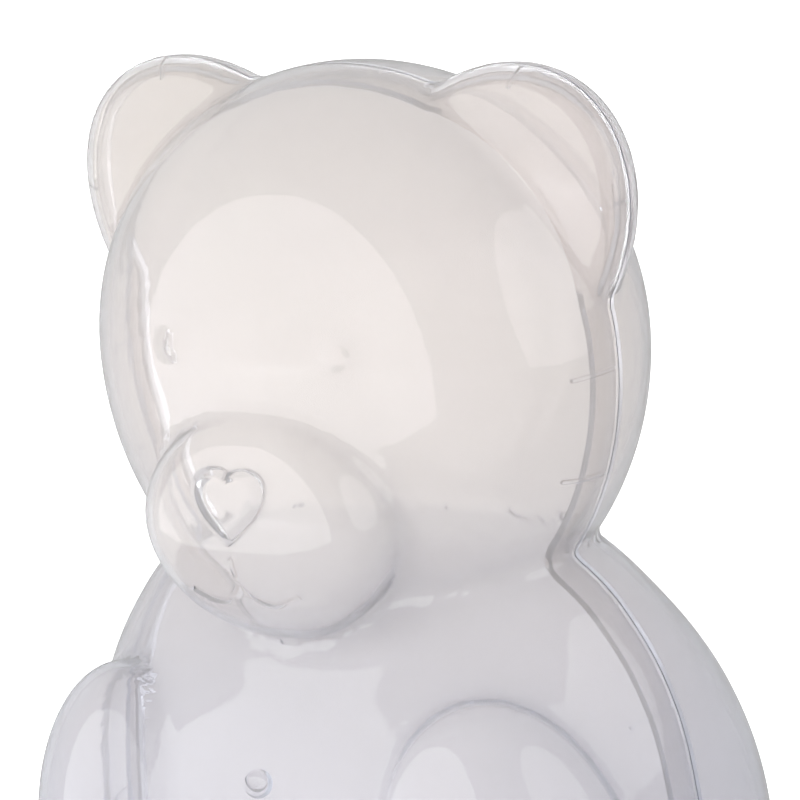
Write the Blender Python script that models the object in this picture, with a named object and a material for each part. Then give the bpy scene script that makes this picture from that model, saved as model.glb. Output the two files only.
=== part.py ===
"""Bear-shaped candy container: two moulded half shells that meet on an upright plane, one plugging into the other."""

import math

import bmesh
import bpy
import numpy as np
from mathutils import Matrix, Vector
from mathutils.bvhtree import BVHTree

# The bear faces -Y and sits on the ground at height zero, with its left and right sides mirrored in X.
WALL = 0.0012
PARTING_GAP = 0.0003

# Head
HEAD_HEIGHT = 0.150
HEAD_HALF_WIDTH = 0.0532
HEAD_FRONT = 0.0395
HEAD_BACK = 0.0504
HEAD_UP = 0.0523
HEAD_DOWN = 0.0581

# Ears, each a rounded plate that leans outwards
EAR_X = 0.0268
EAR_LIFT = 0.0208
EAR_HEIGHT = HEAD_HEIGHT + EAR_LIFT
EAR_LEAN = math.radians(41.6)
EAR_HALF_WIDTH = 0.0268
EAR_REACH = 0.0361
EAR_FRONT = 0.0080
EAR_BACK = 0.0110
EAR_FLATNESS = 2.9

# Muzzle
MUZZLE_SINK = 0.0058
MUZZLE_Y = MUZZLE_SINK - HEAD_FRONT
MUZZLE_DROP = 0.0236
MUZZLE_HEIGHT = HEAD_HEIGHT - MUZZLE_DROP
MUZZLE_HALF_WIDTH = 0.0250
MUZZLE_FRONT = 0.0162
MUZZLE_BACK = 0.0220
MUZZLE_UP = 0.0215
MUZZLE_DOWN = 0.0236
MUZZLE_TILT = math.radians(8.7)
MUZZLE_LEVEL_FULLNESS = 2.7
MUZZLE_SIDE_FULLNESS = 1.93

# Heart-shaped nose, a flat face with sloping sides
NOSE_LIFT = 0.0068
NOSE_HEIGHT = MUZZLE_HEIGHT + NOSE_LIFT
NOSE_WIDTH = 0.0158
NOSE_TALL = 0.0150
NOSE_RISE = 0.0009
NOSE_ROOT = 0.0050
NOSE_TILT = math.radians(-10.0)
NOSE_FACE_SHARE = 0.71
NOSE_STEPS = 48
NOSE_SPACING = 0.0006
HEART_CHEEK_POWER = 2.8
HEART_COSINE_SHARES = (1.0, -0.235, -0.12)

# Eyes, mouth and navel
EYE_X = 0.0174
EYE_LIFT = 0.0074
EYE_HEIGHT = HEAD_HEIGHT + EYE_LIFT
EYE_RADIUS = 0.0034
EYE_RISE = 0.0012
MOUTH_HALF_WIDTH = 0.0115
MOUTH_SINK = 0.0091
MOUTH_HEIGHT = MUZZLE_HEIGHT - MOUTH_SINK
MOUTH_DROP = 0.0040
MOUTH_CORNER_DROP = 0.0025
MOUTH_GROOVE = 0.0010
MOUTH_LIFT = 0.00045
MOUTH_CURL_SHARE = 0.8
MOUTH_START_SHARE = 0.02
MOUTH_STEPS = 12
NAVEL_HEIGHT = 0.0810
NAVEL_RADIUS = 0.0024
NAVEL_DEPTH = 0.0009

# Body, as level sections from below the ground to inside the head
BODY_HALF_WIDTH = 0.0640
BODY_FRONT = 0.0520
BODY_BACK = 0.0730
BODY_TOP = 0.1180
BODY_LEVEL_SHARES = (-0.025, 0.068, 0.169, 0.297, 0.466, 0.593, 0.720, 0.830, 0.924, 1.0)
BODY_WIDTH_SHARES = (0.70, 0.83, 0.938, 0.992, 1.0, 0.984, 0.938, 0.844, 0.703, 0.50)
BODY_FRONT_SHARES = (0.70, 0.846, 0.942, 0.981, 1.0, 0.995, 0.894, 0.702, 0.529, 0.385)
BODY_BACK_SHARES = (0.72, 0.863, 0.959, 1.0, 0.979, 0.904, 0.767, 0.596, 0.479, 0.370)
BODY_FRONT_FULLNESS = (2.0, 2.0, 1.9, 1.85, 1.8, 1.8, 1.8, 1.85, 1.9, 2.0)
BODY_BACK_FULLNESS = (2.3, 2.3, 2.3, 2.3, 2.3, 2.2, 2.1, 2.1, 2.0, 2.0)
BODY_LEVELS = 60
BODY_STEPS = 96

# Arms, low bulges on the front of the body
ARM_INSET = 0.0235
ARM_X = BODY_HALF_WIDTH - ARM_INSET
ARM_SINK = 0.0210
ARM_Y = ARM_SINK - BODY_FRONT
ARM_HEIGHT = 0.0600
ARM_HALF_WIDTH = 0.0240
ARM_THICKNESS = 0.0180
ARM_UP = 0.0350
ARM_DOWN = 0.0370
ARM_TURN = math.radians(38.0)
ARM_LEAN = math.radians(-9.0)

# Legs, stretched out to the front, each with an upright foot
LEG_INSET = 0.0295
LEG_X = BODY_HALF_WIDTH - LEG_INSET
LEG_SINK = 0.0120
LEG_Y = LEG_SINK - BODY_FRONT
LEG_HEIGHT = 0.0190
LEG_HALF_WIDTH = 0.0195
LEG_FRONT = 0.0330
LEG_BACK = 0.0330
LEG_UP = 0.0185
LEG_DOWN = 0.0215
LEG_TURN = math.radians(15.0)
LEG_FULLNESS = 2.2
FOOT_REACH = 0.0228
FOOT_LIFT = 0.0045
FOOT_HEIGHT = LEG_HEIGHT + FOOT_LIFT
FOOT_HALF_WIDTH = 0.0210
FOOT_FRONT = 0.0090
FOOT_BACK = 0.0130
FOOT_UP = 0.0255
FOOT_DOWN = 0.0250
FOOT_LEAN = math.radians(-9.0)
FOOT_FULLNESS = 2.3

# Rim: a collar on the back shell plugs into the front shell, and thin ribs in the front shell grip it
COLLAR_REACH = 0.0050
COLLAR_STEP = 0.0022
COLLAR_WALL = 0.0011
COLLAR_CLEARANCE = 0.0008
RIB_RISE = 0.0005
RIB_THICKNESS = 0.0007
RIB_LENGTH = 0.0112
RIB_SPAN = 0.0080
EAR_RIB_ANGLES = (math.radians(70.0), math.radians(15.0))
HEAD_RIB_ANGLES = (math.radians(-2.0), math.radians(-24.0))
BODY_RIB_ANGLES = (math.radians(25.0), 0.0, math.radians(-26.0))
BODY_RIB_HEIGHT = 0.0580

# Surface blending and facet count
BLEND_GRAIN = 0.0013
BLEND_PASSES = 3
BLEND_STRENGTH = 0.5
FACET_SHARE = 0.0275
SHORTEST_EDGE = 0.0003
WELD_DISTANCE = 0.00001
LOBE_STEPS = 64
SMALL_STEPS = 20
SHARP_ANGLE = math.radians(32.0)
REACH = 0.4


def clear_scene():
    for obj in list(bpy.data.objects):
        bpy.data.objects.remove(obj, do_unlink=True)


def add_object(name, bm):
    mesh = bpy.data.meshes.new(name)
    bm.to_mesh(mesh)
    bm.free()
    obj = bpy.data.objects.new(name, mesh)
    bpy.context.scene.collection.objects.link(obj)
    return obj


def as_helper(obj):
    obj.hide_render = True
    obj.display_type = "WIRE"
    return obj


def bake(obj, name):
    """A new object that holds the shape obj has once its modifiers are worked out."""
    graph = bpy.context.evaluated_depsgraph_get()
    mesh = bpy.data.meshes.new_from_object(obj.evaluated_get(graph))
    mesh.name = name
    baked = bpy.data.objects.new(name, mesh)
    bpy.context.scene.collection.objects.link(baked)
    return as_helper(baked)


def swell(value, power):
    return math.copysign(abs(value) ** (2.0 / power), value)


def lobe(half_width, front, back, up, down, level_fullness=2.0, side_fullness=2.0, steps=LOBE_STEPS):
    """A rounded body about its own centre, with its own reach to the front, back, top and bottom."""
    bm = bmesh.new()
    bmesh.ops.create_uvsphere(bm, u_segments=steps, v_segments=steps // 2, radius=1.0)
    for vert in bm.verts:
        x, y, z = vert.co
        ring = math.hypot(x, y)
        around = math.atan2(y, x)
        reach = swell(ring, side_fullness)
        vert.co.x = half_width * reach * swell(math.cos(around), level_fullness)
        vert.co.y = (front if y < 0 else back) * reach * swell(math.sin(around), level_fullness)
        vert.co.z = (up if z > 0 else down) * swell(z, side_fullness)
    return bm


def ear_lobe(side):
    """The plate is thin in Y, so it is made lying down and then stood up."""
    bm = lobe(EAR_HALF_WIDTH, EAR_REACH, EAR_REACH, EAR_BACK, EAR_FRONT, side_fullness=EAR_FLATNESS)
    stand = Matrix.Rotation(math.radians(90.0), 4, "X")
    bm.transform(stand)
    for vert in bm.verts:
        vert.co.y = -vert.co.y
    bmesh.ops.reverse_faces(bm, faces=bm.faces[:])
    bm.transform(Matrix.Rotation(side * EAR_LEAN, 4, "Y"))
    bm.transform(Matrix.Translation((side * EAR_X, 0.0, EAR_HEIGHT)))
    return bm


def head_lobe():
    bm = lobe(HEAD_HALF_WIDTH, HEAD_FRONT, HEAD_BACK, HEAD_UP, HEAD_DOWN)
    bm.transform(Matrix.Translation((0.0, 0.0, HEAD_HEIGHT)))
    return bm


def muzzle_lobe():
    reaches = (MUZZLE_FRONT, MUZZLE_BACK, MUZZLE_UP, MUZZLE_DOWN)
    bm = lobe(MUZZLE_HALF_WIDTH, *reaches, MUZZLE_LEVEL_FULLNESS, MUZZLE_SIDE_FULLNESS)
    bm.transform(Matrix.Rotation(MUZZLE_TILT, 4, "X"))
    bm.transform(Matrix.Translation((0.0, MUZZLE_Y, MUZZLE_HEIGHT)))
    return bm


def arm_lobe(side):
    bm = lobe(ARM_HALF_WIDTH, ARM_THICKNESS, ARM_THICKNESS, ARM_UP, ARM_DOWN)
    bm.transform(Matrix.Rotation(side * ARM_TURN, 4, "Z") @ Matrix.Rotation(side * ARM_LEAN, 4, "Y"))
    bm.transform(Matrix.Translation((side * ARM_X, ARM_Y, ARM_HEIGHT)))
    return bm


def leg_lobe(side):
    bm = lobe(LEG_HALF_WIDTH, LEG_FRONT, LEG_BACK, LEG_UP, LEG_DOWN, LEG_FULLNESS, LEG_FULLNESS)
    bm.transform(Matrix.Rotation(side * LEG_TURN, 4, "Z"))
    bm.transform(Matrix.Translation((side * LEG_X, LEG_Y, LEG_HEIGHT)))
    return bm


def foot_lobe(side):
    """The sole stands up at the end of the leg and leans back a little."""
    bm = lobe(
        FOOT_HALF_WIDTH, FOOT_FRONT, FOOT_BACK, FOOT_UP, FOOT_DOWN, FOOT_FULLNESS, FOOT_FULLNESS
    )
    bm.transform(Matrix.Rotation(FOOT_LEAN, 4, "X"))
    bm.transform(Matrix.Translation((0.0, -FOOT_REACH, 0.0)))
    bm.transform(Matrix.Rotation(side * LEG_TURN, 4, "Z"))
    bm.transform(Matrix.Translation((side * LEG_X, LEG_Y, FOOT_HEIGHT)))
    return bm


def smooth_row(levels, values, at):
    """Values between the table's levels, on a curve that passes through all of them."""
    levels = np.array(levels)
    values = np.array(values)
    slopes = np.gradient(values, levels)
    low = np.clip(np.searchsorted(levels, at, side="right") - 1, 0, len(levels) - 2)
    span = levels[low + 1] - levels[low]
    t = (at - levels[low]) / span
    rise = (2 * t**3 - 3 * t**2 + 1) * values[low] + (3 * t**2 - 2 * t**3) * values[low + 1]
    bend = (t**3 - 2 * t**2 + t) * slopes[low] + (t**3 - t**2) * slopes[low + 1]
    return rise + bend * span


def body_loft():
    shares = np.linspace(BODY_LEVEL_SHARES[0], BODY_LEVEL_SHARES[-1], BODY_LEVELS)
    widths = BODY_HALF_WIDTH * smooth_row(BODY_LEVEL_SHARES, BODY_WIDTH_SHARES, shares)
    fronts = BODY_FRONT * smooth_row(BODY_LEVEL_SHARES, BODY_FRONT_SHARES, shares)
    backs = BODY_BACK * smooth_row(BODY_LEVEL_SHARES, BODY_BACK_SHARES, shares)
    front_powers = smooth_row(BODY_LEVEL_SHARES, BODY_FRONT_FULLNESS, shares)
    back_powers = smooth_row(BODY_LEVEL_SHARES, BODY_BACK_FULLNESS, shares)
    bm = bmesh.new()
    rings = []
    for level in range(BODY_LEVELS):
        ring = []
        for step in range(BODY_STEPS):
            angle = math.tau * step / BODY_STEPS
            cosine = math.cos(angle)
            sine = math.sin(angle)
            power = front_powers[level] if sine < 0 else back_powers[level]
            depth = fronts[level] if sine < 0 else backs[level]
            reach = (abs(cosine) ** power + abs(sine) ** power) ** (-1.0 / power)
            point = (widths[level] * cosine * reach, depth * sine * reach, BODY_TOP * shares[level])
            ring.append(bm.verts.new(point))
        rings.append(ring)
    for below, above in zip(rings[:-1], rings[1:]):
        for step in range(BODY_STEPS):
            nxt = (step + 1) % BODY_STEPS
            bm.faces.new((below[step], below[nxt], above[nxt], above[step]))
    bm.faces.new(rings[0][::-1])
    bm.faces.new(rings[-1])
    return bm


def even_sides(form):
    """Makes the left side the exact mirror of the right, with no needle-thin facets."""
    bm = bmesh.new()
    bm.from_mesh(form.data)
    bmesh.ops.symmetrize(bm, input=[*bm.verts, *bm.edges, *bm.faces], direction="X", dist=SHORTEST_EDGE)
    bmesh.ops.dissolve_degenerate(bm, dist=SHORTEST_EDGE, edges=bm.edges[:])
    bmesh.ops.triangulate(bm, faces=bm.faces[:])
    bm.to_mesh(form.data)
    bm.free()


def outer_form():
    """All lobes grown into one skin, with the soft valleys that the mould has between them."""
    whole = bmesh.new()
    lobes = [head_lobe(), muzzle_lobe(), body_loft()]
    for side in (1, -1):
        lobes += [ear_lobe(side), arm_lobe(side), leg_lobe(side), foot_lobe(side)]
    for bm in lobes:
        part = bpy.data.meshes.new("lobe")
        bm.to_mesh(part)
        bm.free()
        whole.from_mesh(part)
        bpy.data.meshes.remove(part)
    blend = as_helper(add_object("blend", whole))
    grain = blend.modifiers.new("grain", "REMESH")
    grain.mode = "VOXEL"
    grain.voxel_size = BLEND_GRAIN
    soften = blend.modifiers.new("soften", "SMOOTH")
    soften.factor = BLEND_STRENGTH
    soften.iterations = BLEND_PASSES
    facets = blend.modifiers.new("facets", "DECIMATE")
    facets.ratio = FACET_SHARE
    form = bake(blend, "outer_form")
    bpy.data.objects.remove(blend, do_unlink=True)
    even_sides(form)
    return form


def inset_form(form, name, depth):
    """The same skin moved inwards by the same depth all over."""
    copy = bpy.data.objects.new(name, form.data.copy())
    bpy.context.scene.collection.objects.link(copy)
    move = copy.modifiers.new("inset", "DISPLACE")
    move.mid_level = 0.0
    move.strength = -depth
    baked = bake(copy, name)
    bpy.data.objects.remove(copy, do_unlink=True)
    return baked


def slab(name, low, high):
    """A block between two corners."""
    bm = bmesh.new()
    bmesh.ops.create_cube(bm, size=1.0)
    low = Vector(low)
    high = Vector(high)
    for vert in bm.verts:
        for axis in range(3):
            vert.co[axis] = low[axis] if vert.co[axis] < 0 else high[axis]
    return as_helper(add_object(name, bm))


def cut(obj, other, operation, label):
    step = obj.modifiers.new(label, "BOOLEAN")
    step.operation = operation
    step.solver = "EXACT"
    step.object = other
    return step


def trimmed(form, name, low_y, high_y, floor):
    """The part of a form between two upright planes and above the floor."""
    copy = bpy.data.objects.new(name, form.data.copy())
    bpy.context.scene.collection.objects.link(copy)
    block = slab(name + "_block", (-REACH, low_y, floor), (REACH, high_y, REACH))
    cut(copy, block, "INTERSECT", "trim")
    baked = bake(copy, name)
    bpy.data.objects.remove(copy, do_unlink=True)
    bpy.data.objects.remove(block, do_unlink=True)
    return baked


def surface_y(tree, x, z):
    """Where the front skin lies at this place."""
    point = tree.ray_cast(Vector((x, -REACH, z)), Vector((0.0, 1.0, 0.0)))[0]
    return point.y


def heart_rise(angle):
    """Height on the heart's outline, above its own middle, at an angle from its notch."""
    rise = sum(share * math.cos((k + 1) * angle) for k, share in enumerate(HEART_COSINE_SHARES))
    return rise * NOSE_TALL / 2


def heart_outline():
    """Points round the heart, none closer together than the nose's spacing."""
    points = []
    for step in range(NOSE_STEPS):
        angle = math.tau * step / NOSE_STEPS
        sine = math.sin(angle)
        x = math.copysign(abs(sine) ** HEART_CHEEK_POWER, sine) * NOSE_WIDTH / 2
        point = Vector((x, 0.0, heart_rise(angle)))
        near = [other for other in points if (other - point).length < NOSE_SPACING]
        if not near:
            points.append(point)
    return points


def nose(tree, name, inset):
    """A heart that rises out of the muzzle and narrows to its flat face."""
    start_y = surface_y(tree, 0.0, NOSE_HEIGHT)
    outline = 1.0 - 2 * inset / NOSE_WIDTH
    levels = (
        (NOSE_ROOT, outline),
        (inset, outline),
        (inset - NOSE_RISE, outline * NOSE_FACE_SHARE),
    )
    points = heart_outline()
    bm = bmesh.new()
    rings = []
    for depth, scale in levels:
        rings.append([bm.verts.new((point.x * scale, depth, point.z * scale)) for point in points])
    for near, far in zip(rings[:-1], rings[1:]):
        for step in range(len(points)):
            nxt = (step + 1) % len(points)
            bm.faces.new((near[step], near[nxt], far[nxt], far[step]))
    bm.faces.new(rings[0][::-1])
    bm.faces.new(rings[-1])
    bmesh.ops.recalc_face_normals(bm, faces=bm.faces[:])
    bm.transform(Matrix.Rotation(NOSE_TILT, 4, "X"))
    bm.transform(Matrix.Translation((0.0, start_y, NOSE_HEIGHT)))
    return as_helper(add_object(name, bm))


def eye(tree, name, side):
    start_y = surface_y(tree, side * EYE_X, EYE_HEIGHT)
    bm = lobe(EYE_RADIUS, EYE_RISE, EYE_RISE, EYE_RADIUS, EYE_RADIUS, steps=SMALL_STEPS)
    turn = math.atan2(EYE_X / HEAD_HALF_WIDTH**2, -start_y / HEAD_FRONT**2)
    bm.transform(Matrix.Rotation(side * turn, 4, "Z"))
    bm.transform(Matrix.Translation((side * EYE_X, start_y, EYE_HEIGHT)))
    return as_helper(add_object(name, bm))


def navel(tree, name, grow):
    start_y = surface_y(tree, 0.0, NAVEL_HEIGHT)
    radius = NAVEL_RADIUS + grow
    depth = NAVEL_DEPTH + grow
    bm = lobe(radius, depth, depth, radius, radius, steps=SMALL_STEPS)
    bm.transform(Matrix.Translation((0.0, start_y, NAVEL_HEIGHT)))
    return as_helper(add_object(name, bm))


def groove(tree, name, places):
    """A round cutter that follows the skin through these places."""
    curve = bpy.data.curves.new(name, "CURVE")
    curve.dimensions = "3D"
    curve.bevel_depth = MOUTH_GROOVE
    curve.bevel_resolution = 2
    curve.use_fill_caps = True
    line = curve.splines.new("POLY")
    line.points.add(len(places) - 1)
    for point, (x, z) in zip(line.points, places):
        point.co = (x, surface_y(tree, x, z) - MOUTH_LIFT, z, 1.0)
    obj = bpy.data.objects.new(name, curve)
    bpy.context.scene.collection.objects.link(obj)
    baked = bake(obj, name + "_cutter")
    bpy.data.objects.remove(obj, do_unlink=True)
    weld(baked)
    return baked


def weld(obj):
    """Joins the caps of a swept shape to its sides."""
    bm = bmesh.new()
    bm.from_mesh(obj.data)
    bmesh.ops.remove_doubles(bm, verts=bm.verts[:], dist=WELD_DISTANCE)
    bm.to_mesh(obj.data)
    bm.free()


def mouth_arc(tree, name, side):
    """The arc under one jowl, from the middle of the mouth to its corner."""
    places = []
    for share in np.linspace(MOUTH_START_SHARE, 1.0, MOUTH_STEPS):
        drop = MOUTH_DROP * math.sin(math.pi * share**MOUTH_CURL_SHARE) + MOUTH_CORNER_DROP * share**2
        places.append((side * MOUTH_HALF_WIDTH * share, MOUTH_HEIGHT - drop))
    return groove(tree, name, places)


def philtrum(tree):
    """The upright groove from the point of the nose down to the arcs."""
    top = NOSE_HEIGHT + heart_rise(math.pi) - MOUTH_GROOVE
    high = Vector((0.0, surface_y(tree, 0.0, top), top))
    low = Vector((0.0, surface_y(tree, 0.0, MOUTH_HEIGHT), MOUTH_HEIGHT))
    half = (high - low).length / 2 + MOUTH_GROOVE
    bm = lobe(MOUTH_GROOVE, MOUTH_GROOVE, MOUTH_GROOVE, half, half, steps=SMALL_STEPS)
    bm.transform(Matrix.Rotation(math.atan2(low.y - high.y, high.z - low.z), 4, "X"))
    middle = (high + low) / 2
    bm.transform(Matrix.Translation((0.0, middle.y - MOUTH_LIFT, middle.z)))
    return as_helper(add_object("philtrum", bm))


def rib_places(tree):
    """The middle and the slant of each right-hand rib, where a ray towards its lobe's centre meets the skin."""
    places = []
    rows = (
        (EAR_X, EAR_HEIGHT, EAR_RIB_ANGLES),
        (0.0, HEAD_HEIGHT, HEAD_RIB_ANGLES),
        (0.0, BODY_RIB_HEIGHT, BODY_RIB_ANGLES),
    )
    for centre_x, centre_z, angles in rows:
        for angle in angles:
            way = Vector((math.cos(angle), 0.0, math.sin(angle)))
            start = Vector((centre_x, -PARTING_GAP, centre_z)) + REACH * way
            skin = tree.ray_cast(start, -way)[0]
            places.append((skin.x, skin.z, angle))
    return places


def ribs(tree, limit_form):
    """Upright blades across the front wall, cut back to their rise above its inner face."""
    whole = bmesh.new()
    for x, z, angle in rib_places(tree):
        for side in (1, -1):
            blade = bmesh.ops.create_cube(whole, size=1.0)["verts"]
            shape = Matrix.Diagonal((RIB_SPAN, RIB_LENGTH + RIB_SPAN / 2, RIB_THICKNESS, 1.0))
            turn = Matrix.Rotation(-side * angle, 4, "Y")
            place = Matrix.Translation((side * x, (RIB_SPAN / 2 - RIB_LENGTH) / 2, z))
            bmesh.ops.transform(whole, matrix=place @ turn @ shape, verts=blade)
    obj = add_object("rib_blades", whole)
    cut(obj, limit_form, "DIFFERENCE", "rise")
    baked = bake(obj, "rib_cutter")
    bpy.data.objects.remove(obj, do_unlink=True)
    return baked


def shade(obj):
    for face in obj.data.polygons:
        face.use_smooth = True
    obj.data.set_sharp_from_angle(angle=SHARP_ANGLE)


def material(name, colour):
    mat = bpy.data.materials.new(name)
    mat.use_nodes = True
    mat.diffuse_color = colour
    shader = mat.node_tree.nodes["Principled BSDF"]
    shader.inputs["Base Color"].default_value = colour
    shader.inputs["Roughness"].default_value = 0.18
    shader.inputs["Transmission Weight"].default_value = 0.6
    shader.inputs["IOR"].default_value = 1.49
    return mat


def front_material():
    return material("clear_front_plastic", (0.90, 0.89, 0.90, 1.0))


def back_material():
    return material("clear_back_plastic", (0.87, 0.88, 0.91, 1.0))


def finish(solid, cavity, name, mat):
    cut(solid, cavity, "DIFFERENCE", "hollow")
    baked = bake(solid, name)
    baked.hide_render = False
    baked.display_type = "TEXTURED"
    baked.data.materials.clear()
    baked.data.materials.append(mat)
    shade(baked)
    bpy.data.objects.remove(solid, do_unlink=True)
    bpy.data.objects.remove(cavity, do_unlink=True)
    return baked


def front_shell(outer, inner, rib_limit, tree):
    edge = -PARTING_GAP / 2
    solid = trimmed(outer, "front_solid", -REACH, edge, 0.0)
    cavity = trimmed(inner, "front_cavity", -REACH, REACH, WALL)
    extras = [nose(tree, "nose", 0.0), eye(tree, "eye_left", 1), eye(tree, "eye_right", -1)]
    for extra in extras:
        cut(solid, extra, "UNION", extra.name)
    sunk = [navel(tree, "navel", 0.0), mouth_arc(tree, "mouth_left", 1), mouth_arc(tree, "mouth_right", -1)]
    sunk.append(philtrum(tree))
    for extra in sunk:
        cut(solid, extra, "DIFFERENCE", extra.name)
    nose_hollow = nose(tree, "nose_hollow", WALL)
    navel_back = navel(tree, "navel_back", WALL)
    blades = ribs(tree, rib_limit)
    cut(cavity, nose_hollow, "UNION", "nose_hollow")
    cut(cavity, navel_back, "DIFFERENCE", "navel_back")
    cut(cavity, blades, "DIFFERENCE", "ribs")
    shell = finish(solid, cavity, "front_shell", front_material())
    for extra in [*extras, *sunk, nose_hollow, navel_back, blades]:
        bpy.data.objects.remove(extra, do_unlink=True)
    return shell


def back_shell(outer, inner, collar_outer, collar_inner):
    """The wall, a thick step at the rim and the collar that reaches into the front shell."""
    edge = PARTING_GAP / 2
    floor = WALL + COLLAR_CLEARANCE
    solid = trimmed(outer, "back_solid", edge, REACH, 0.0)
    plug = trimmed(collar_outer, "plug", -COLLAR_REACH, EAR_BACK / 2, floor)
    cut(solid, plug, "UNION", "collar")
    cavity = trimmed(inner, "back_cavity", COLLAR_STEP, REACH, WALL)
    mouth_way = trimmed(
        collar_inner, "collar_way", -COLLAR_REACH - COLLAR_STEP, EAR_BACK / 2, floor + COLLAR_WALL
    )
    cut(cavity, mouth_way, "UNION", "way")
    shell = finish(solid, cavity, "back_shell", back_material())
    bpy.data.objects.remove(plug, do_unlink=True)
    bpy.data.objects.remove(mouth_way, do_unlink=True)
    return shell


def build():
    clear_scene()
    outer = outer_form()
    graph = bpy.context.evaluated_depsgraph_get()
    tree = BVHTree.FromObject(outer, graph)
    inner = inset_form(outer, "inner_form", WALL)
    rib_limit = inset_form(outer, "rib_limit", WALL + RIB_RISE)
    collar_outer = inset_form(outer, "collar_outer", WALL + COLLAR_CLEARANCE)
    collar_inner = inset_form(outer, "collar_inner", WALL + COLLAR_CLEARANCE + COLLAR_WALL)
    front_shell(outer, inner, rib_limit, tree)
    back_shell(outer, inner, collar_outer, collar_inner)
    for helper in (outer, inner, rib_limit, collar_outer, collar_inner):
        bpy.data.objects.remove(helper, do_unlink=True)


build()
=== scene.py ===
import math

import bmesh
import bpy
import numpy as np
from mathutils import Matrix, Vector
from mathutils.bvhtree import BVHTree


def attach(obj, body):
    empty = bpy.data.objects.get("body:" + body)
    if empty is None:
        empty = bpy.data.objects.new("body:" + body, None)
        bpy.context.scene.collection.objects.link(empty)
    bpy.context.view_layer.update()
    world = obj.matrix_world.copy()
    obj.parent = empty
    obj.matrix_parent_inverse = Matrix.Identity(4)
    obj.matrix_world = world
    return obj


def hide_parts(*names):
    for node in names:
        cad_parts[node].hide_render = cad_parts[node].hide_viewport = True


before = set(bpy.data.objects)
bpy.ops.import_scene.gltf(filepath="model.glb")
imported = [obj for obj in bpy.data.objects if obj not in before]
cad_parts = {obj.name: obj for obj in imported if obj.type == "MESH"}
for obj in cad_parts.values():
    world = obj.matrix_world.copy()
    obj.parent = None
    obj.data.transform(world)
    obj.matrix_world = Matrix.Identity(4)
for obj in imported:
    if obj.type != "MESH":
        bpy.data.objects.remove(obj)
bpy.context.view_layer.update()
print("frame loaded")

# Both shells. The bear faces -Y, and the shells part on the plane y = 0.
shell = {
    "wall": 0.0012,
    "partingGap": 0.0003,
    "collarReach": 0.0050,      # how far the back shell's collar plugs into the front
    "collarStep": 0.0022,       # thick band behind the collar
    "collarWall": 0.0011,
    "collarClearance": 0.0008,
    "rootDepth": 0.0055,
    "sharpAngle": math.radians(32.0),
    "reach": 0.4,               # larger than the whole bear
}


def addObject(name, bm):
    mesh = bpy.data.meshes.new(name)
    bm.to_mesh(mesh)
    bm.free()
    obj = bpy.data.objects.new(name, mesh)
    bpy.context.scene.collection.objects.link(obj)
    return obj


# A new object with the shape that obj has once its modifiers are worked out
def bake(obj, name):
    graph = bpy.context.evaluated_depsgraph_get()
    mesh = bpy.data.meshes.new_from_object(obj.evaluated_get(graph))
    mesh.name = name
    baked = bpy.data.objects.new(name, mesh)
    bpy.context.scene.collection.objects.link(baked)
    return baked


def discard(*objects):
    for obj in objects:
        bpy.data.objects.remove(obj, do_unlink=True)


# A live Boolean of obj with another object, worked out when obj is baked
def carve(obj, other, operation):
    step = obj.modifiers.new(other.name, "BOOLEAN")
    step.operation = operation
    step.solver = "MANIFOLD"
    step.object = other


# Sine or cosine of a round form, pushed outwards where the power is over 2
def swell(value, power):
    return math.copysign(abs(value) ** (2.0 / power), value)


# A rounded body about its own centre, with its own reach to the front, back, top and bottom
def roundedBody(size, steps=160):
    bm = bmesh.new()
    bmesh.ops.create_uvsphere(bm, u_segments=steps, v_segments=steps // 2, radius=1.0)
    levelFullness = size.get("levelFullness", 2.0)
    sideFullness = size.get("sideFullness", 2.0)
    for vert in bm.verts:
        x, y, z = vert.co
        around = math.atan2(y, x)
        reach = swell(math.hypot(x, y), sideFullness)
        depth = size["front"] if y < 0 else size["back"]
        height = size["up"] if z > 0 else size["down"]
        vert.co.x = size["halfWidth"] * reach * swell(math.cos(around), levelFullness)
        vert.co.y = depth * reach * swell(math.sin(around), levelFullness)
        vert.co.z = height * swell(z, sideFullness)
    return bm


head = {
    "height": 0.150,
    "halfWidth": 0.0532,
    "front": 0.0395,
    "back": 0.0504,
    "up": 0.0523,
    "down": 0.0581,
}


def headBody():
    bm = roundedBody(head)
    bm.transform(Matrix.Translation((0.0, 0.0, head["height"])))
    return bm


ear = {
    "x": 0.0268,
    "height": 0.1708,
    "lean": math.radians(41.6),
    "halfWidth": 0.0268,
    "front": 0.0361,
    "back": 0.0361,
    "up": 0.0080,
    "down": 0.0110,
    "sideFullness": 2.9,
}


# The plate is made lying down, then stood up and leant outwards
def earBody(side):
    bm = roundedBody(ear)
    bm.transform(Matrix.Rotation(math.radians(90.0), 4, "X"))
    bm.transform(Matrix.Rotation(side * ear["lean"], 4, "Y"))
    bm.transform(Matrix.Translation((side * ear["x"], 0.0, ear["height"])))
    return bm


muzzle = {
    "y": -0.0337,
    "height": 0.1264,
    "tilt": math.radians(8.7),
    "halfWidth": 0.0250,
    "front": 0.0162,
    "back": 0.0220,
    "up": 0.0215,
    "down": 0.0236,
    "levelFullness": 2.7,
    "sideFullness": 1.93,
}


def muzzleBody():
    bm = roundedBody(muzzle)
    bm.transform(Matrix.Rotation(muzzle["tilt"], 4, "X"))
    bm.transform(Matrix.Translation((0.0, muzzle["y"], muzzle["height"])))
    return bm


arm = {
    "x": 0.0405,
    "y": -0.0310,
    "height": 0.0600,
    "turn": math.radians(38.0),
    "lean": math.radians(-9.0),
    "halfWidth": 0.0240,
    "front": 0.0180,
    "back": 0.0180,
    "up": 0.0350,
    "down": 0.0370,
}


def armBody(side):
    bm = roundedBody(arm)
    turn = Matrix.Rotation(side * arm["turn"], 4, "Z")
    bm.transform(turn @ Matrix.Rotation(side * arm["lean"], 4, "Y"))
    bm.transform(Matrix.Translation((side * arm["x"], arm["y"], arm["height"])))
    return bm


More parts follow.
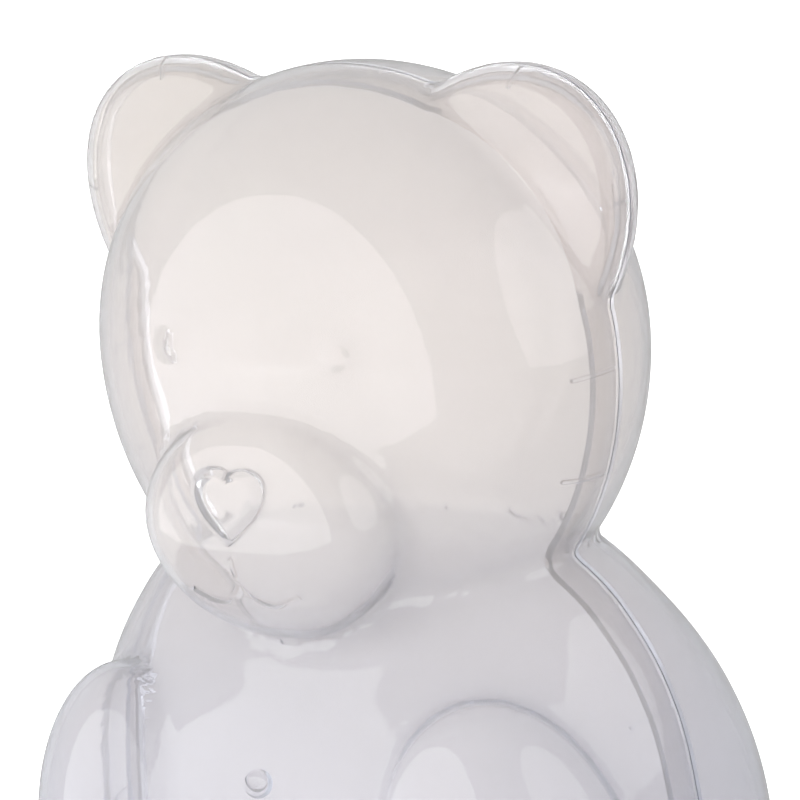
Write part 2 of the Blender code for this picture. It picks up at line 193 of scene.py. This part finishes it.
leg = {
    "x": 0.0345,
    "y": -0.0400,
    "height": 0.0190,
    "turn": math.radians(15.0),
    "halfWidth": 0.0195,
    "front": 0.0330,
    "back": 0.0330,
    "up": 0.0185,
    "down": 0.0215,
    "levelFullness": 2.2,
    "sideFullness": 2.2,
}


def legBody(side):
    bm = roundedBody(leg)
    bm.transform(Matrix.Rotation(side * leg["turn"], 4, "Z"))
    bm.transform(Matrix.Translation((side * leg["x"], leg["y"], leg["height"])))
    return bm


foot = {
    "reach": 0.0228,            # from the middle of the leg
    "height": 0.0235,
    "lean": math.radians(-9.0),
    "halfWidth": 0.0210,
    "front": 0.0090,
    "back": 0.0130,
    "up": 0.0255,
    "down": 0.0250,
    "levelFullness": 2.3,
    "sideFullness": 2.3,
}


def footBody(side):
    bm = roundedBody(foot)
    bm.transform(Matrix.Rotation(foot["lean"], 4, "X"))
    bm.transform(Matrix.Translation((0.0, -foot["reach"], 0.0)))
    bm.transform(Matrix.Rotation(side * leg["turn"], 4, "Z"))
    bm.transform(Matrix.Translation((side * leg["x"], leg["y"], foot["height"])))
    return bm


# The body's level outlines, from below the ground to inside the head, as shares of its sizes
body = {
    "halfWidth": 0.0640,
    "front": 0.0520,
    "back": 0.0730,
    "top": 0.1180,
    "levels": (-0.025, 0.068, 0.169, 0.297, 0.466, 0.593, 0.720, 0.830, 0.924, 1.0),
    "widths": (0.70, 0.83, 0.938, 0.992, 1.0, 0.984, 0.938, 0.844, 0.703, 0.50),
    "fronts": (0.70, 0.846, 0.942, 0.981, 1.0, 0.995, 0.894, 0.702, 0.529, 0.385),
    "backs": (0.72, 0.863, 0.959, 1.0, 0.979, 0.904, 0.767, 0.596, 0.479, 0.370),
    "frontFullness": (2.0, 2.0, 1.9, 1.85, 1.8, 1.8, 1.8, 1.85, 1.9, 2.0),
    "backFullness": (2.3, 2.3, 2.3, 2.3, 2.3, 2.2, 2.1, 2.1, 2.0, 2.0),
    "rings": 100,
    "steps": 192,
}


# Values between the table's levels, on a curve that passes through all of them
def smoothRow(name, at):
    levels = np.array(body["levels"])
    values = np.array(body[name])
    slopes = np.gradient(values, levels)
    low = np.clip(np.searchsorted(levels, at, side="right") - 1, 0, len(levels) - 2)
    span = levels[low + 1] - levels[low]
    t = (at - levels[low]) / span
    rise = (2 * t**3 - 3 * t**2 + 1) * values[low] + (3 * t**2 - 2 * t**3) * values[low + 1]
    bend = (t**3 - 2 * t**2 + t) * slopes[low] + (t**3 - t**2) * slopes[low + 1]
    return float(rise + bend * span)


# A round can, one high about its middle, whose rings take the body's outlines
def torsoBody():
    bm = bmesh.new()
    steps = body["steps"]
    bmesh.ops.create_cone(bm, cap_ends=True, segments=steps, radius1=1.0, radius2=1.0, depth=1.0)
    upright = [edge for edge in bm.edges if abs(edge.verts[0].co.z - edge.verts[1].co.z) > 0.5]
    bmesh.ops.subdivide_edges(bm, edges=upright, cuts=body["rings"], use_grid_fill=True)
    names = ("widths", "fronts", "backs", "frontFullness", "backFullness")
    outlines = {}
    span = body["levels"][-1] - body["levels"][0]
    for vert in bm.verts:
        level = round(body["levels"][0] + span * (vert.co.z + 0.5), 6)
        if level not in outlines:
            outlines[level] = [smoothRow(name, level) for name in names]
        width, front, back, frontPower, backPower = outlines[level]
        around = math.atan2(vert.co.y, vert.co.x)
        isFront = around < 0
        power = frontPower if isFront else backPower
        depth = body["front"] * front if isFront else body["back"] * back
        cosine, sine = math.cos(around), math.sin(around)
        reach = (abs(cosine) ** power + abs(sine) ** power) ** (-1.0 / power)
        vert.co.x = body["halfWidth"] * width * cosine * reach
        vert.co.y = depth * sine * reach
        vert.co.z = body["top"] * level
    return bm


skin = {
    "voxel": 0.00125,
    "smoothing": 0.5,
    "passes": 8,
    "grain": 0.00002,           # height of the voxels' own steps
    "valleyPasses": 8,
    "valleyGain": 1.4,          # how far a valley sinks, as a share of what the smoothing filled
    "valleyWall": 0.8,          # extra wall there, as a share of the same
}


def vertexRows(mesh, what):
    rows = np.empty(len(mesh.vertices) * 3)
    mesh.vertices.foreach_get(what, rows)
    return rows.reshape(-1, 3)


# How far the smoothing raised the skin over its raw shape, for the valleys alone
def valleyDepths(raw, smooth):
    rise = ((vertexRows(smooth, "co") - vertexRows(raw, "co")) * vertexRows(smooth, "normal")).sum(axis=1)
    depths = np.maximum(rise - skin["grain"], 0.0)
    ends = np.empty(len(smooth.edges) * 2, dtype=np.int32)
    smooth.edges.foreach_get("vertices", ends)
    start, stop = ends.reshape(-1, 2).T
    count = len(depths)
    neighbours = np.bincount(ends, minlength=count)
    for _ in range(skin["valleyPasses"]):
        around = np.bincount(start, depths[stop], count) + np.bincount(stop, depths[start], count)
        depths = (depths + around / neighbours) / 2
    return depths


eye = {"x": 0.0174, "height": 0.1574, "spread": 0.0019, "rise": 0.0013}


# Two soft rises in the face
def raiseEyes(places):
    away = (np.abs(places[:, 0]) - eye["x"]) ** 2 + (places[:, 2] - eye["height"]) ** 2
    rise = eye["rise"] * np.exp(-away / (2 * eye["spread"] ** 2))
    places[:, 1] -= np.where(places[:, 1] < 0, rise, 0.0)


# All bodies grown into one skin, with clear valleys between them
def wholeSkin():
    whole = bmesh.new()
    parts = [headBody(), muzzleBody(), torsoBody()]
    for side in (1, -1):
        parts += [earBody(side), armBody(side), legBody(side), footBody(side)]
    for bm in parts:
        mesh = bpy.data.meshes.new("part")
        bm.to_mesh(mesh)
        bm.free()
        whole.from_mesh(mesh)
        bpy.data.meshes.remove(mesh)
    blend = addObject("blend", whole)
    grow = blend.modifiers.new("grow", "REMESH")
    grow.mode = "VOXEL"
    grow.voxel_size = skin["voxel"]
    raw = bake(blend, "raw")
    soften = raw.modifiers.new("soften", "SMOOTH")
    soften.factor = skin["smoothing"]
    soften.iterations = skin["passes"]
    skinObject = bake(raw, "skin")
    valleys = valleyDepths(raw.data, skinObject.data)
    places = vertexRows(skinObject.data, "co")
    places -= vertexRows(skinObject.data, "normal") * valleys[:, None] * skin["valleyGain"]
    raiseEyes(places)
    skinObject.data.vertices.foreach_set("co", places.ravel())
    skinObject.data.update()
    discard(blend, raw)
    return skinObject, valleys


# The same skin moved inwards by a depth, or by a depth for each place
def insetSkin(form, name, depth):
    mesh = form.data.copy()
    places = vertexRows(mesh, "co") - vertexRows(mesh, "normal") * np.reshape(depth, (-1, 1))
    mesh.vertices.foreach_set("co", places.ravel())
    mesh.update()
    inset = bpy.data.objects.new(name, mesh)
    bpy.context.scene.collection.objects.link(inset)
    return inset


def block(name, low, high):
    bm = bmesh.new()
    bmesh.ops.create_cube(bm, size=1.0)
    low, high = Vector(low), Vector(high)
    bmesh.ops.transform(bm, matrix=Matrix.Diagonal((*(high - low), 1.0)), verts=bm.verts)
    bmesh.ops.translate(bm, vec=(low + high) / 2, verts=bm.verts)
    return addObject(name, bm)


# The part of a form between two upright planes and above a floor
def trimmed(form, name, lowY, highY, floor):
    copy = bpy.data.objects.new(name, form.data.copy())
    bpy.context.scene.collection.objects.link(copy)
    room = block(name + "Room", (-shell["reach"], lowY, floor), (shell["reach"], highY, shell["reach"]))
    carve(copy, room, "INTERSECT")
    baked = bake(copy, name)
    discard(copy, room)
    return baked


# Where the front skin lies at this place
def skinY(tree, x, z):
    return tree.ray_cast(Vector((x, -shell["reach"], z)), Vector((0.0, 1.0, 0.0)))[0].y


nose = {
    "height": 0.1332,
    "width": 0.0158,
    "tall": 0.0150,
    "rise": 0.0013,
    "root": 0.0050,
    "tilt": math.radians(-10.0),
    "profile": ((0.85, 0.76), (1.0, 0.70), (1.0, 0.62)),    # rise and size, as shares
    "steps": 96,
    "spacing": 0.0003,
    "cheekPower": 2.8,
    "cosines": (1.0, -0.235, -0.12),
}


# Height on the heart's outline, above its own middle, at an angle from its notch
def heartRise(angle):
    rise = sum(share * math.cos((k + 1) * angle) for k, share in enumerate(nose["cosines"]))
    return rise * nose["tall"] / 2


# Points round the heart, none closer together than the nose's spacing
def heartPoints():
    points = []
    for step in range(nose["steps"]):
        angle = math.tau * step / nose["steps"]
        sine = math.sin(angle)
        x = math.copysign(abs(sine) ** nose["cheekPower"], sine) * nose["width"] / 2
        point = Vector((x, 0.0, heartRise(angle)))
        if not any((other - point).length < nose["spacing"] for other in points):
            points.append(point)
    return points


# A heart that is extruded in steps towards its smaller flat face
def heartNose(tree, name, inset):
    outline = 1.0 - 2 * inset / nose["width"]
    rows = [(nose["root"], outline), (inset, outline)]
    rows += [(inset - nose["rise"] * rise, outline * size) for rise, size in nose["profile"]]
    bm = bmesh.new()
    points = [(p.x * outline, nose["root"], p.z * outline) for p in heartPoints()]
    face = bm.faces.new([bm.verts.new(point) for point in points])
    back = bmesh.ops.extrude_face_region(bm, geom=[face], use_keep_orig=True)
    for k in range(1, len(rows)):
        if k > 1:
            top = [item for item in back["geom"] if isinstance(item, bmesh.types.BMFace)]
            back = bmesh.ops.extrude_face_region(bm, geom=top)
            bmesh.ops.delete(bm, geom=top, context="FACES_ONLY")
        grow = rows[k][1] / rows[k - 1][1]
        for vert in [item for item in back["geom"] if isinstance(item, bmesh.types.BMVert)]:
            vert.co = (vert.co.x * grow, rows[k][0], vert.co.z * grow)
    bmesh.ops.recalc_face_normals(bm, faces=bm.faces[:])
    bm.transform(Matrix.Rotation(nose["tilt"], 4, "X"))
    bm.transform(Matrix.Translation((0.0, skinY(tree, 0.0, nose["height"]), nose["height"])))
    return addObject(name, bm)


navel = {"height": 0.0810, "radius": 0.0024, "depth": 0.0009, "steps": 48}


def navelDimple(tree, name, grow):
    size = dict.fromkeys(("halfWidth", "up", "down"), navel["radius"] + grow)
    size["front"] = size["back"] = navel["depth"] + grow
    bm = roundedBody(size, navel["steps"])
    bm.transform(Matrix.Translation((0.0, skinY(tree, 0.0, navel["height"]), navel["height"])))
    return addObject(name, bm)


mouth = {
    "halfWidth": 0.0115,
    "height": 0.1173,
    "drop": 0.0040,
    "cornerDrop": 0.0025,
    "curl": 0.8,
    "groove": 0.0014,
    "lift": 0.00122,
    "startShare": 0.02,
    "steps": 24,
    "roundSteps": 3,
    "weld": 0.00001,
    "philtrumSteps": 32,
}


# The arc under one jowl, from the middle of the mouth to its corner
def mouthArc(tree, name, side):
    curve = bpy.data.curves.new(name, "CURVE")
    curve.dimensions = "3D"
    curve.bevel_depth = mouth["groove"]
    curve.bevel_resolution = mouth["roundSteps"]
    curve.use_fill_caps = True
    line = curve.splines.new("POLY")
    line.points.add(mouth["steps"] - 1)
    for point, share in zip(line.points, np.linspace(mouth["startShare"], 1.0, mouth["steps"])):
        x = side * mouth["halfWidth"] * share
        drop = mouth["drop"] * math.sin(math.pi * share ** mouth["curl"]) + mouth["cornerDrop"] * share**2
        z = mouth["height"] - drop
        point.co = (x, skinY(tree, x, z) - mouth["lift"], z, 1.0)
    obj = bpy.data.objects.new(name, curve)
    bpy.context.scene.collection.objects.link(obj)
    baked = bake(obj, name + "Cutter")
    discard(obj)
    bm = bmesh.new()
    bm.from_mesh(baked.data)
    bmesh.ops.remove_doubles(bm, verts=bm.verts[:], dist=mouth["weld"])
    bm.to_mesh(baked.data)
    bm.free()
    return baked


# The upright groove from the point of the nose down to the arcs
def philtrum(tree):
    top = nose["height"] + heartRise(math.pi) - mouth["groove"]
    high = Vector((0.0, skinY(tree, 0.0, top), top))
    low = Vector((0.0, skinY(tree, 0.0, mouth["height"]), mouth["height"]))
    size = dict.fromkeys(("halfWidth", "front", "back"), mouth["groove"])
    size["up"] = size["down"] = (high - low).length / 2 + mouth["groove"]
    bm = roundedBody(size, mouth["philtrumSteps"])
    bm.transform(Matrix.Rotation(math.atan2(low.y - high.y, high.z - low.z), 4, "X"))
    bm.transform(Matrix.Translation((high + low) / 2 - Vector((0.0, mouth["lift"], 0.0))))
    return addObject("philtrum", bm)


rib = {
    "rise": 0.0005,
    "thickness": 0.0007,
    "length": 0.0112,
    "span": 0.0080,
    "earAngles": (70.0, 15.0),
    "headAngles": (-2.0, -24.0),
    "bodyAngles": (25.0, 0.0, -26.0),
    "bodyHeight": 0.0580,
}


# Upright blades across the front wall, cut back to their rise above its inner face
def ribBlades(tree, limit):
    bm = bmesh.new()
    rows = (
        (ear["x"], ear["height"], rib["earAngles"]),
        (0.0, head["height"], rib["headAngles"]),
        (0.0, rib["bodyHeight"], rib["bodyAngles"]),
    )
    shape = Matrix.Diagonal((rib["span"], rib["length"] + rib["span"] / 2, rib["thickness"], 1.0))
    places = [
        (x, z, math.radians(angle), side)
        for x, z, angles in rows
        for angle in angles
        for side in (1, -1)
    ]
    for centreX, centreZ, angle, side in places:
        way = Vector((math.cos(angle), 0.0, math.sin(angle)))
        start = Vector((centreX, -shell["partingGap"], centreZ)) + shell["reach"] * way
        spot = tree.ray_cast(start, -way)[0]
        blade = bmesh.ops.create_cube(bm, size=1.0)["verts"]
        place = Matrix.Translation((side * spot.x, (rib["span"] / 2 - rib["length"]) / 2, spot.z))
        turn = Matrix.Rotation(-side * angle, 4, "Y")
        bmesh.ops.transform(bm, matrix=place @ turn @ shape, verts=blade)
    obj = addObject("blades", bm)
    carve(obj, limit, "DIFFERENCE")
    baked = bake(obj, "ribCutter")
    discard(obj)
    return baked


# Milky polypropylene: light goes through it and is scattered on the way
plastic = {
    "frontHighPaintedLight": (0.998, 0.948, 0.882, 1.0),    # warm at the head, cooler down the body; lighter at the head as painted light and darker down the body as painted shade
    "frontBlush": (0.998, 0.925, 0.900, 1.0),
    "frontLowPaintedShade": (0.908, 0.876, 0.888, 1.0),
    "backHighPaintedLight": (0.994, 0.943, 0.878, 1.0),
    "backBlush": (0.994, 0.920, 0.894, 1.0),
    "backLowPaintedShade": (0.898, 0.866, 0.878, 1.0),
    "transmission": 0.80,
    "ior": 1.45,
    "roughLow": 0.03,
    "roughHigh": 0.07,
    "absorbColour": (0.08, 0.40, 0.79, 1.0),
    "absorbDensity": 72.0,      # to a metre of plastic, so long ways through a wall turn blue
    # Heights over which the base colour goes from the painted shade of the body to the painted light of
    # the head
    "lowHeight": 0.070,
    "highHeight": 0.165,
    "cloudSize": 14.0,          # clouds to a metre
    "cloudDetail": 3.0,
    "cloudReach": 0.030,
    "waveSize": 26.0,
    "waveDetail": 1.0,
    "waveStrength": 0.35,
    "waveHeight": 0.0003,
}


# Height with soft clouds in it, from 0 down the body to 1 at the head, which sets the painted shade low
# down and the painted light at the head
def warmthAndPaintedShade(tree, coords):
    nodes, links = tree.nodes, tree.links
    clouds = nodes.new("ShaderNodeTexNoise")
    clouds.inputs["Scale"].default_value = plastic["cloudSize"]
    clouds.inputs["Detail"].default_value = plastic["cloudDetail"]
    links.new(coords, clouds.inputs["Vector"])
    split = nodes.new("ShaderNodeSeparateXYZ")
    links.new(coords, split.inputs["Vector"])
    cloudy = nodes.new("ShaderNodeMath")
    cloudy.operation = "MULTIPLY_ADD"
    cloudy.inputs[1].default_value = plastic["cloudReach"]
    links.new(clouds.outputs["Fac"], cloudy.inputs[0])
    links.new(split.outputs["Z"], cloudy.inputs[2])
    level = nodes.new("ShaderNodeMapRange")
    level.interpolation_type = "SMOOTHSTEP"
    level.inputs["From Min"].default_value = plastic["lowHeight"]
    level.inputs["From Max"].default_value = plastic["highHeight"]
    links.new(cloudy.outputs[0], level.inputs["Value"])
    return level.outputs["Result"], clouds.outputs["Fac"]


# Warm and lighter at the top as painted light, with a blush in its clouds, cool and darker low down as
# painted shade, and blue where light goes a long way
def milkyPlastic(name, high, blush, low):
    mat = bpy.data.materials.new(name)
    mat.use_nodes = True
    nodes, links = mat.node_tree.nodes, mat.node_tree.links
    shader = nodes["Principled BSDF"]
    shader.inputs["IOR"].default_value = plastic["ior"]
    shader.inputs["Transmission Weight"].default_value = plastic["transmission"]
    coords = nodes.new("ShaderNodeTexCoord").outputs["Object"]
    level, clouds = warmthAndPaintedShade(mat.node_tree, coords)
    warmAndLit = nodes.new("ShaderNodeMix")
    warmAndLit.data_type = "RGBA"
    warmAndLit.inputs["A"].default_value = high
    warmAndLit.inputs["B"].default_value = blush
    links.new(clouds, warmAndLit.inputs["Factor"])
    # Painted shade and light: the base colour goes darker down the body and lighter at the head
    paintedShadeTint = nodes.new("ShaderNodeMix")
    paintedShadeTint.data_type = "RGBA"
    paintedShadeTint.inputs["A"].default_value = low
    links.new(warmAndLit.outputs["Result"], paintedShadeTint.inputs["B"])
    links.new(level, paintedShadeTint.inputs["Factor"])
    links.new(paintedShadeTint.outputs["Result"], shader.inputs["Base Color"])
    rough = nodes.new("ShaderNodeMapRange")
    rough.inputs["To Min"].default_value = plastic["roughLow"]
    rough.inputs["To Max"].default_value = plastic["roughHigh"]
    links.new(clouds, rough.inputs["Value"])
    links.new(rough.outputs["Result"], shader.inputs["Roughness"])
    waves = nodes.new("ShaderNodeTexNoise")
    waves.inputs["Scale"].default_value = plastic["waveSize"]
    waves.inputs["Detail"].default_value = plastic["waveDetail"]
    links.new(coords, waves.inputs["Vector"])
    bump = nodes.new("ShaderNodeBump")
    bump.inputs["Strength"].default_value = plastic["waveStrength"]
    bump.inputs["Distance"].default_value = plastic["waveHeight"]
    links.new(waves.outputs["Fac"], bump.inputs["Height"])
    links.new(bump.outputs["Normal"], shader.inputs["Normal"])
    absorb = nodes.new("ShaderNodeVolumeAbsorption")
    absorb.inputs["Color"].default_value = plastic["absorbColour"]
    absorb.inputs["Density"].default_value = plastic["absorbDensity"]
    links.new(absorb.outputs["Volume"], nodes["Material Output"].inputs["Volume"])
    return mat


# The piece that is left of a solid once its hollow is taken out
def finished(solid, hollow, name, mat):
    carve(solid, hollow, "DIFFERENCE")
    piece = bake(solid, name)
    discard(solid, hollow)
    piece.data.materials.clear()
    piece.data.materials.append(mat)
    piece.data.shade_smooth()
    piece.data.set_sharp_from_angle(angle=shell["sharpAngle"])
    return piece


# Face, arms and legs, with the nose raised, the mouth and navel sunk, and ribs inside the edge
def frontShell(outer, inner, ribLimit, tree):
    solid = trimmed(outer, "frontSolid", -shell["reach"], -shell["partingGap"] / 2, 0.0)
    hollow = trimmed(inner, "frontHollow", -shell["reach"], shell["reach"], shell["wall"])
    noseHeart = heartNose(tree, "noseHeart", 0.0)
    sunk = [
        navelDimple(tree, "navel", 0.0),
        mouthArc(tree, "mouthLeft", 1),
        mouthArc(tree, "mouthRight", -1),
        philtrum(tree),
    ]
    carve(solid, noseHeart, "UNION")
    for item in sunk:
        carve(solid, item, "DIFFERENCE")
    noseHollow = heartNose(tree, "noseHollow", shell["wall"])
    navelBack = navelDimple(tree, "navelBack", shell["wall"])
    blades = ribBlades(tree, ribLimit)
    carve(hollow, noseHollow, "UNION")
    carve(hollow, navelBack, "DIFFERENCE")
    carve(hollow, blades, "DIFFERENCE")
    mat = milkyPlastic("milkyFront", plastic["frontHighPaintedLight"], plastic["frontBlush"], plastic["frontLowPaintedShade"])
    piece = finished(solid, hollow, "frontSkin", mat)
    discard(noseHeart, *sunk, noseHollow, navelBack, blades)
    return piece


# The plain back, with the collar that plugs into the front shell
def backShell(outer, inner, collarOuter, collarInner):
    floor = shell["wall"] + shell["collarClearance"]
    solid = trimmed(outer, "backSolid", shell["partingGap"] / 2, shell["reach"], 0.0)
    plug = trimmed(collarOuter, "plug", -shell["collarReach"], shell["rootDepth"], floor)
    carve(solid, plug, "UNION")
    hollow = trimmed(inner, "backHollow", shell["collarStep"], shell["reach"], shell["wall"])
    wayStart = -shell["collarReach"] - shell["collarStep"]
    way = trimmed(collarInner, "way", wayStart, shell["rootDepth"], floor + shell["collarWall"])
    carve(hollow, way, "UNION")
    mat = milkyPlastic("milkyBack", plastic["backHighPaintedLight"], plastic["backBlush"], plastic["backLowPaintedShade"])
    piece = finished(solid, hollow, "backSkin", mat)
    discard(plug, way)
    return piece


def buildBear():
    outer, valleys = wholeSkin()
    tree = BVHTree.FromObject(outer, bpy.context.evaluated_depsgraph_get())
    inner = insetSkin(outer, "inner", shell["wall"] + skin["valleyWall"] * valleys)
    ribLimit = insetSkin(outer, "ribLimit", shell["wall"] + rib["rise"])
    collarDepth = shell["wall"] + shell["collarClearance"]
    collarOuter = insetSkin(outer, "collarOuter", collarDepth)
    collarInner = insetSkin(outer, "collarInner", collarDepth + shell["collarWall"])
    front = frontShell(outer, inner, ribLimit, tree)
    back = backShell(outer, inner, collarOuter, collarInner)
    discard(outer, inner, ribLimit, collarOuter, collarInner)
    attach(front, "front")
    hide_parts("front_shell")
    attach(back, "back")
    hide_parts("back_shell")
    print("shells built:", len(front.data.polygons), len(back.data.polygons), "faces")


view = {
    "azimuth": math.radians(32.58),
    "elevation": math.radians(13.885),
    "roll": math.radians(-4.847),
    "aim": (0.0, 0.0, 0.138),
    "pixelSize": 0.000185,      # metres to a pixel at the aim's distance
    "focalPixels": 4608.0,
    "offsetPixels": (-28.7, 5.3),
    "imagePixels": 800.0,
    "sensor": 36.0,
    "nearest": 0.01,
}


def placeCamera():
    a, e, r = view["azimuth"], view["elevation"], view["roll"]
    back = Vector((math.sin(a) * math.cos(e), -math.cos(a) * math.cos(e), math.sin(e)))
    level = Vector((math.cos(a), math.sin(a), 0.0))
    rise = level.cross(-back)
    right = math.cos(r) * level + math.sin(r) * rise
    up = math.cos(r) * rise - math.sin(r) * level
    offX, offY = view["offsetPixels"]
    fromAim = right * offX - up * offY - back * view["focalPixels"]
    data = bpy.data.cameras.new("camera")
    data.sensor_width = view["sensor"]
    data.sensor_fit = "HORIZONTAL"
    data.lens = view["focalPixels"] / view["imagePixels"] * view["sensor"]
    data.clip_start = view["nearest"]
    camera = bpy.data.objects.new("camera", data)
    place = Matrix.Translation(Vector(view["aim"]) - view["pixelSize"] * fromAim)
    camera.matrix_world = place @ Matrix((right, up, back)).transposed().to_4x4()
    bpy.context.scene.collection.objects.link(camera)
    bpy.context.scene.camera = camera


studio = {
    "ambient": 0.98,
    "background": 1.0,
    "glossAmbient": 0.54,       # darker surroundings in the gloss draw the outline
    "floorShade": 0.90,
    "floorGloss": 0.50,
    "floorGlow": 0.60,
    "floorSize": 12.0,
    "floorDrop": 0.0002,        # keeps the floor clear of the base
    "lampAim": (0.0, 0.0, 0.12),
}

# Round soft panels: two that only show, in the gloss and through the plastic, and one that lights
softBoxes = {
    "key": {
        "azimuth": -21.0,
        "elevation": -7.0,
        "distance": 0.27,
        "width": 0.70,
        "height": 0.84,
        "level": 1.23,
        "shows": True,
    },
    "side": {
        "azimuth": 95.0,
        "elevation": 14.0,
        "distance": 0.90,
        "width": 0.90,
        "height": 1.10,
        "level": 1.00,
        "shows": True,
    },
    "fill": {
        "azimuth": -15.0,
        "elevation": 20.0,
        "distance": 1.50,
        "width": 1.40,
        "height": 1.40,
        "level": 3.00,
        "shows": False,
    },
}


# A level with its own values for the rays from the camera and for those in the gloss
def rayLevel(tree, plain, seen, gloss):
    path = tree.nodes.new("ShaderNodeLightPath")
    direct = tree.nodes.new("ShaderNodeMapRange")
    direct.inputs["To Min"].default_value = plain
    direct.inputs["To Max"].default_value = seen
    tree.links.new(path.outputs["Is Camera Ray"], direct.inputs["Value"])
    mirrored = tree.nodes.new("ShaderNodeMath")
    mirrored.operation = "SUBTRACT"
    mirrored.use_clamp = True
    tree.links.new(path.outputs["Is Glossy Ray"], mirrored.inputs[0])
    tree.links.new(path.outputs["Is Transmission Ray"], mirrored.inputs[1])
    level = tree.nodes.new("ShaderNodeMath")
    level.operation = "MULTIPLY_ADD"
    level.inputs[1].default_value = gloss - plain
    tree.links.new(mirrored.outputs[0], level.inputs[0])
    tree.links.new(direct.outputs["Result"], level.inputs[2])
    return level.outputs[0]


def floorMaterial():
    mat = bpy.data.materials.new("studioFloor")
    mat.use_nodes = True
    tree = mat.node_tree
    shader = tree.nodes["Principled BSDF"]
    shade = rayLevel(tree, studio["floorShade"], studio["floorShade"], studio["floorGloss"])
    tree.links.new(shade, shader.inputs["Base Color"])
    shader.inputs["Roughness"].default_value = 1.0
    shader.inputs["Specular IOR Level"].default_value = 0.0
    shader.inputs["Emission Color"].default_value = (1.0, 1.0, 1.0, 1.0)
    tree.links.new(rayLevel(tree, 0.0, studio["floorGlow"], 0.0), shader.inputs["Emission Strength"])
    return mat


def makeStudio():
    bm = bmesh.new()
    bmesh.ops.create_grid(bm, x_segments=1, y_segments=1, size=studio["floorSize"] / 2)
    bmesh.ops.translate(bm, vec=(0.0, 0.0, -studio["floorDrop"]), verts=bm.verts)
    floor = addObject("studioFloor", bm)
    floor.data.materials.append(floorMaterial())
    world = bpy.data.worlds.new("studio")
    world.use_nodes = True
    bpy.context.scene.world = world
    tree = world.node_tree
    background = tree.nodes["Background"]
    background.inputs["Color"].default_value = (1.0, 1.0, 1.0, 1.0)
    level = rayLevel(tree, studio["ambient"], studio["background"], studio["glossAmbient"])
    tree.links.new(level, background.inputs["Strength"])


def lightBear():
    aim = Vector(studio["lampAim"])
    for name, box in softBoxes.items():
        a, e = math.radians(box["azimuth"]), math.radians(box["elevation"])
        way = Vector((math.sin(a) * math.cos(e), -math.cos(a) * math.cos(e), math.sin(e)))
        data = bpy.data.lights.new(name, "AREA")
        data.shape = "ELLIPSE"
        data.size = box["width"]
        data.size_y = box["height"]
        area = math.pi / 4 * box["width"] * box["height"]
        data.energy = box["level"] * math.pi * area
        lamp = bpy.data.objects.new(name, data)
        lamp.rotation_mode = "QUATERNION"
        lamp.rotation_quaternion = way.to_track_quat("Z", "Y")
        lamp.location = aim + way * box["distance"]
        lamp.visible_diffuse = not box["shows"]
        lamp.visible_glossy = lamp.visible_transmission = box["shows"]
        bpy.context.scene.collection.objects.link(lamp)


placeCamera()
makeStudio()
lightBear()
print("studio ready")
buildBear()
bpy.context.scene.view_settings.view_transform = "Standard"
